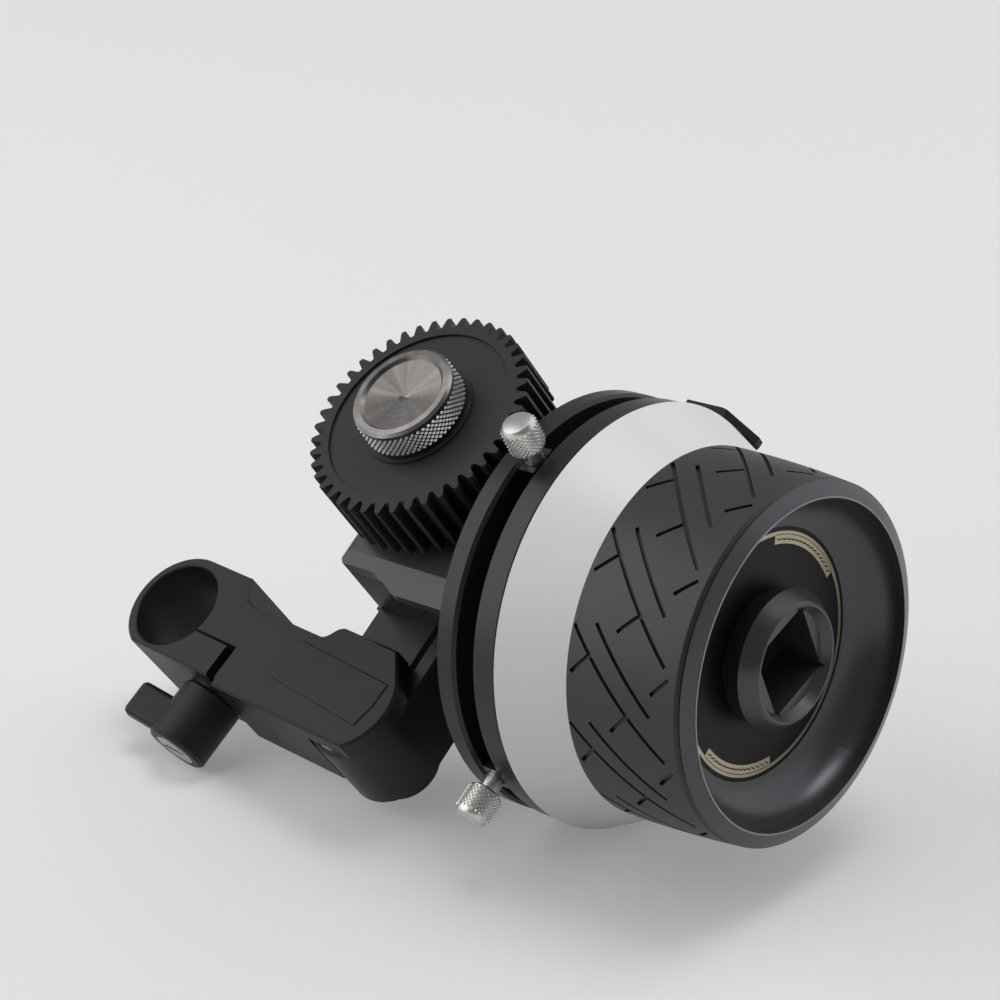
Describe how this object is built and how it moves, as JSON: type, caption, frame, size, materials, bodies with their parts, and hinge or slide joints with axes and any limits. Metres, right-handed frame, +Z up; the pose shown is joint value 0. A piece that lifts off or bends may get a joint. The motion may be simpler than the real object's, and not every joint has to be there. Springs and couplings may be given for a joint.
{
  "type": "camera follow focus unit",
  "caption": "Rod-mounted hand wheel unit for a camera rig: clamp arm with lever, swinging gearbox, lens gear with thumb knob, and a rubber-gripped wheel with marking disc and sliding stops.",
  "frame": {"origin": "centre of the rod bore, midway through the arm's thickness", "axes": "+Y along the rod, away from the lens gear; +X across from the rod to the hand wheel; +Z up, towards the wheel's pointer"},
  "size_m": [0.1126, 0.0715, 0.0814],
  "materials": {
    "arm_black": "black anodised, satin",
    "case_black": "black anodised, satin",
    "flange_black": "black anodised, fine turned",
    "gear_black": "moulded acetal, semi-matt",
    "silver_knurl": "clear anodised, diamond knurled",
    "rim_grey": "dark grey anodised, fine turned",
    "wheel_black": "black anodised, satin",
    "marking_white": "white writable surface, satin",
    "grip_rubber": "moulded rubber, matt",
    "badge_black": "black gloss with a thin gold ring",
    "steel": "ground steel",
    "screw_black": "black oxide",
    "bronze": "sintered bronze, oiled",
    "nickel": "nickel plated"
  },
  "bodies": {
    "arm": {"clamp_arm": "arm_black", "pivot_bolt": "screw_black", "pivot_washer": "nickel", "pivot_end_washer": "screw_black"},
    "lever": {"clamp_lever": "arm_black", "clamp_screw": "steel", "clamp_washer": "screw_black", "lever_end_screw": "screw_black"},
    "gearbox": {"housing_body": "case_black", "front_cover": "case_black", "cover_screws": "screw_black", "stop_flange": "flange_black", "flange_screws": "screw_black", "index_pointer": "arm_black", "pointer_screws": "screw_black", "pivot_bush": "bronze", "shaft_bush": "bronze", "bearing_outer_ring": "steel", "bearing_snap_ring": "steel", "drive_bush_rear": "bronze", "drive_bush_front": "bronze"},
    "wheel": {"wheel_core": "wheel_black", "wheel_shaft": "steel", "crown_gear": "bronze", "crown_gear_pin": "steel", "bearing_inner_ring": "steel", "ring_pins": "steel", "stop_ring": "wheel_black", "disc_magnets": "nickel", "marking_disc": "marking_white", "rubber_grip": "grip_rubber", "front_rim": "rim_grey", "rim_screws": "screw_black", "badge_disc": "badge_black", "drive_socket": "rim_grey", "hub_screw": "screw_black"},
    "drive": {"drive_gear": "gear_black", "drive_shaft": "steel", "drive_pinion": "steel", "pinion_pin": "steel", "gear_pin": "steel"},
    "knob": {"gear_knob": "silver_knurl"},
    "stop_a": {"stop_a_block": "steel"},
    "stop_a_clamp": {"stop_a_screw": "silver_knurl"},
    "stop_b": {"stop_b_block": "steel"},
    "stop_b_clamp": {"stop_b_screw": "silver_knurl"}
  },
  "joints": [
    {"name": "arm_pivot", "type": "hinge", "parent": "arm", "child": "gearbox", "pos_m": [0.04187, 0, -0.00489], "axis": [0, 1, 0], "range_deg": [-30, 90]},
    {"name": "lever_turn", "type": "hinge", "parent": "arm", "child": "lever", "pos_m": [0.01147, 0, -0.00076], "axis": [-0.0663, 0, -0.9978], "range_deg": [0, 270]},
    {"name": "wheel_turn", "type": "hinge", "parent": "gearbox", "child": "wheel", "pos_m": [0.08387, 0.00253, 0.02631], "axis": [1, 0, 0], "range_deg": [-68, 167]},
    {"name": "drive_turn", "type": "hinge", "parent": "gearbox", "child": "drive", "pos_m": [0.04387, -0.02447, 0.03241], "axis": [0, 1, 0], "range_deg": [-70, 170]},
    {"name": "knob_turn", "type": "hinge", "parent": "drive", "child": "knob", "pos_m": [0.04387, -0.02447, 0.03241], "axis": [0, -1, 0], "range_deg": [0, 720]},
    {"name": "stop_a_slide", "type": "hinge", "parent": "wheel", "child": "stop_a", "pos_m": [0.06762, 0.00253, 0.02631], "axis": [1, 0, 0], "range_deg": [0, 35]},
    {"name": "stop_b_slide", "type": "hinge", "parent": "wheel", "child": "stop_b", "pos_m": [0.06762, 0.00253, 0.02631], "axis": [1, 0, 0], "range_deg": [-35, 0]},
    {"name": "stop_a_screw_turn", "type": "hinge", "parent": "stop_a", "child": "stop_a_clamp", "pos_m": [0.06762, -0.03015, 0.03091], "axis": [0, -0.9903, 0.1392], "range_deg": [0, 360]},
    {"name": "stop_b_screw_turn", "type": "hinge", "parent": "stop_b", "child": "stop_b_clamp", "pos_m": [0.06762, 0.00115, -0.00666], "axis": [0, -0.0419, -0.9991], "range_deg": [0, 360]}
  ],
  "couplings": [
    {"joint": "drive_turn", "follows": "wheel_turn", "ratio": 1}
  ]
}
